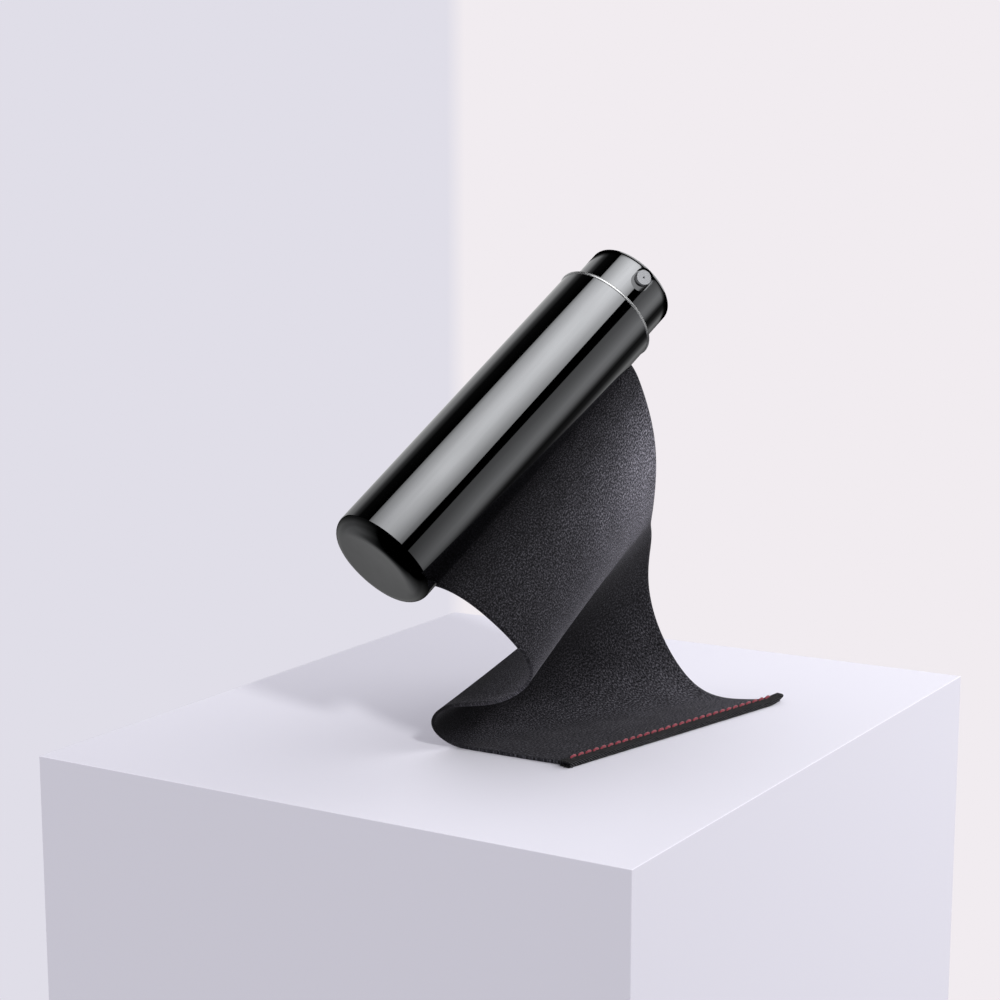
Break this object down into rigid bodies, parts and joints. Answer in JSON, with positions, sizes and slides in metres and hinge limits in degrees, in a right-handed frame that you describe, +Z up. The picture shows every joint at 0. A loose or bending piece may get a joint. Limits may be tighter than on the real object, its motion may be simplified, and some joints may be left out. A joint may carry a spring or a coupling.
{
  "type": "lens cleaning spray",
  "caption": "Pocket lens cleaning spray: a mirror-finish tube with a pull-out refill and pump head, leaning on the microfibre cloth bonded to its back.",
  "frame": {"origin": "on the table, under the middle of the cloth's hem binding", "axes": "+Z up, +X to the right and +Y away from the viewer; the bottle leans up to the right and away"},
  "size_m": [0.1291, 0.1159, 0.1391],
  "materials": {
    "gunmetal_mirror": "black chrome plating, mirror polished",
    "satin_metal": "satin anodised",
    "white_plastic": "moulded polypropylene",
    "grey_plastic": "moulded, light grey",
    "dark_liner": "moulded, black",
    "clear_vial": "clear moulded PETG",
    "rubber": "moulded, dull",
    "foam": "closed-cell foam",
    "steel": "spring steel",
    "clear_tube": "extruded polyethylene",
    "adhesive": "double-sided tape",
    "microfibre": "microfibre suede, charcoal",
    "binding": "woven binding tape, black"
  },
  "bodies": {
    "carrier": {"outer_shell": "gunmetal_mirror", "shell_liner": "dark_liner", "base_cushion": "foam", "bond_strip": "adhesive", "cloth": "microfibre", "hem_binding": "binding"},
    "refill": {"vial": "clear_vial"},
    "pump": {"pump_housing": "white_plastic", "neck_gasket": "rubber", "stem_retainer": "white_plastic", "stem_seal": "rubber", "dip_tube": "clear_tube"},
    "collar": {"pump_collar": "white_plastic", "collar_sleeve": "satin_metal"},
    "plunger": {"pump_stem": "white_plastic", "pump_piston": "white_plastic", "return_spring": "steel"},
    "head": {"actuator_core": "white_plastic", "head_cover": "gunmetal_mirror", "nozzle_insert": "grey_plastic"},
    "ball": {"inlet_ball": "steel"}
  },
  "joints": [
    {"name": "refill_pull", "type": "slide", "parent": "carrier", "child": "refill", "axis": [0.6079, 0.5228, 0.5976], "range_m": [0, 0.1]},
    {"name": "pump_lift", "type": "slide", "parent": "refill", "child": "pump", "axis": [0.6079, 0.5228, 0.5976], "range_m": [0, 0.0027]},
    {"name": "collar_turn", "type": "hinge", "parent": "pump", "child": "collar", "pos_m": [-0.03293, -0.01076, 0.1118], "axis": [0.6079, 0.5228, 0.5976], "range_deg": [0, 540]},
    {"name": "spray_press", "type": "slide", "parent": "pump", "child": "plunger", "axis": [0.6079, 0.5228, 0.5976], "range_m": [-0.005, 0], "stiffness_N_per_m": 700, "springref_m": 0.0012, "deforming": ["return_spring"]},
    {"name": "head_swivel", "type": "hinge", "parent": "plunger", "child": "head", "pos_m": [-0.02077, -0.0003, 0.12375], "axis": [0.6079, 0.5228, 0.5976], "continuous": true},
    {"name": "ball_lift", "type": "slide", "parent": "pump", "child": "ball", "axis": [0.6079, 0.5228, 0.5976], "range_m": [0, 0.0008]}
  ],
  "couplings": [
    {"joint": "collar_turn", "follows": "pump_lift", "rad_per_m": 3490.7}
  ]
}
